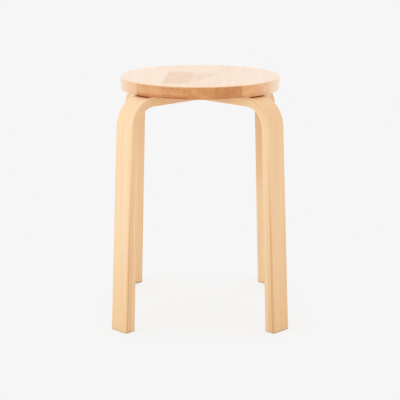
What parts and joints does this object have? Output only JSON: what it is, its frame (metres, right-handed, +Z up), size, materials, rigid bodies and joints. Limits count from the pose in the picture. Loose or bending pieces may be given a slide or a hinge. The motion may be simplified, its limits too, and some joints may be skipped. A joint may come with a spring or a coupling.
{
  "type": "stacking stool",
  "caption": "Stacking stool: a round solid-wood seat glued up from staves on four bent laminated legs that splay outwards and stand just outside the rim.",
  "frame": {"origin": "on the floor, under the middle of the seat", "axes": "+Z up; front towards -Y; the legs stand on the diagonals between X and Y"},
  "size_m": [0.3236, 0.3236, 0.45],
  "materials": {
    "seat_staves": "clear satin lacquer",
    "leg_outer_ply": "clear satin lacquer",
    "leg_middle_ply": "clear satin lacquer",
    "leg_inner_ply": "clear satin lacquer",
    "screws": "zinc plated"
  },
  "bodies": {
    "root": {"seat_stave_1": "seat_staves", "seat_stave_2": "seat_staves", "seat_stave_3": "seat_staves", "seat_stave_4": "seat_staves", "seat_stave_5": "seat_staves", "seat_stave_6": "seat_staves", "seat_stave_7": "seat_staves", "back_right_leg_outer_ply": "leg_outer_ply", "back_right_leg_middle_ply": "leg_middle_ply", "back_right_leg_inner_ply": "leg_inner_ply", "back_left_leg_outer_ply": "leg_outer_ply", "back_left_leg_middle_ply": "leg_middle_ply", "back_left_leg_inner_ply": "leg_inner_ply", "front_left_leg_outer_ply": "leg_outer_ply", "front_left_leg_middle_ply": "leg_middle_ply", "front_left_leg_inner_ply": "leg_inner_ply", "front_right_leg_outer_ply": "leg_outer_ply", "front_right_leg_middle_ply": "leg_middle_ply", "front_right_leg_inner_ply": "leg_inner_ply", "leg_screws": "screws"}
  },
  "joints": []
}
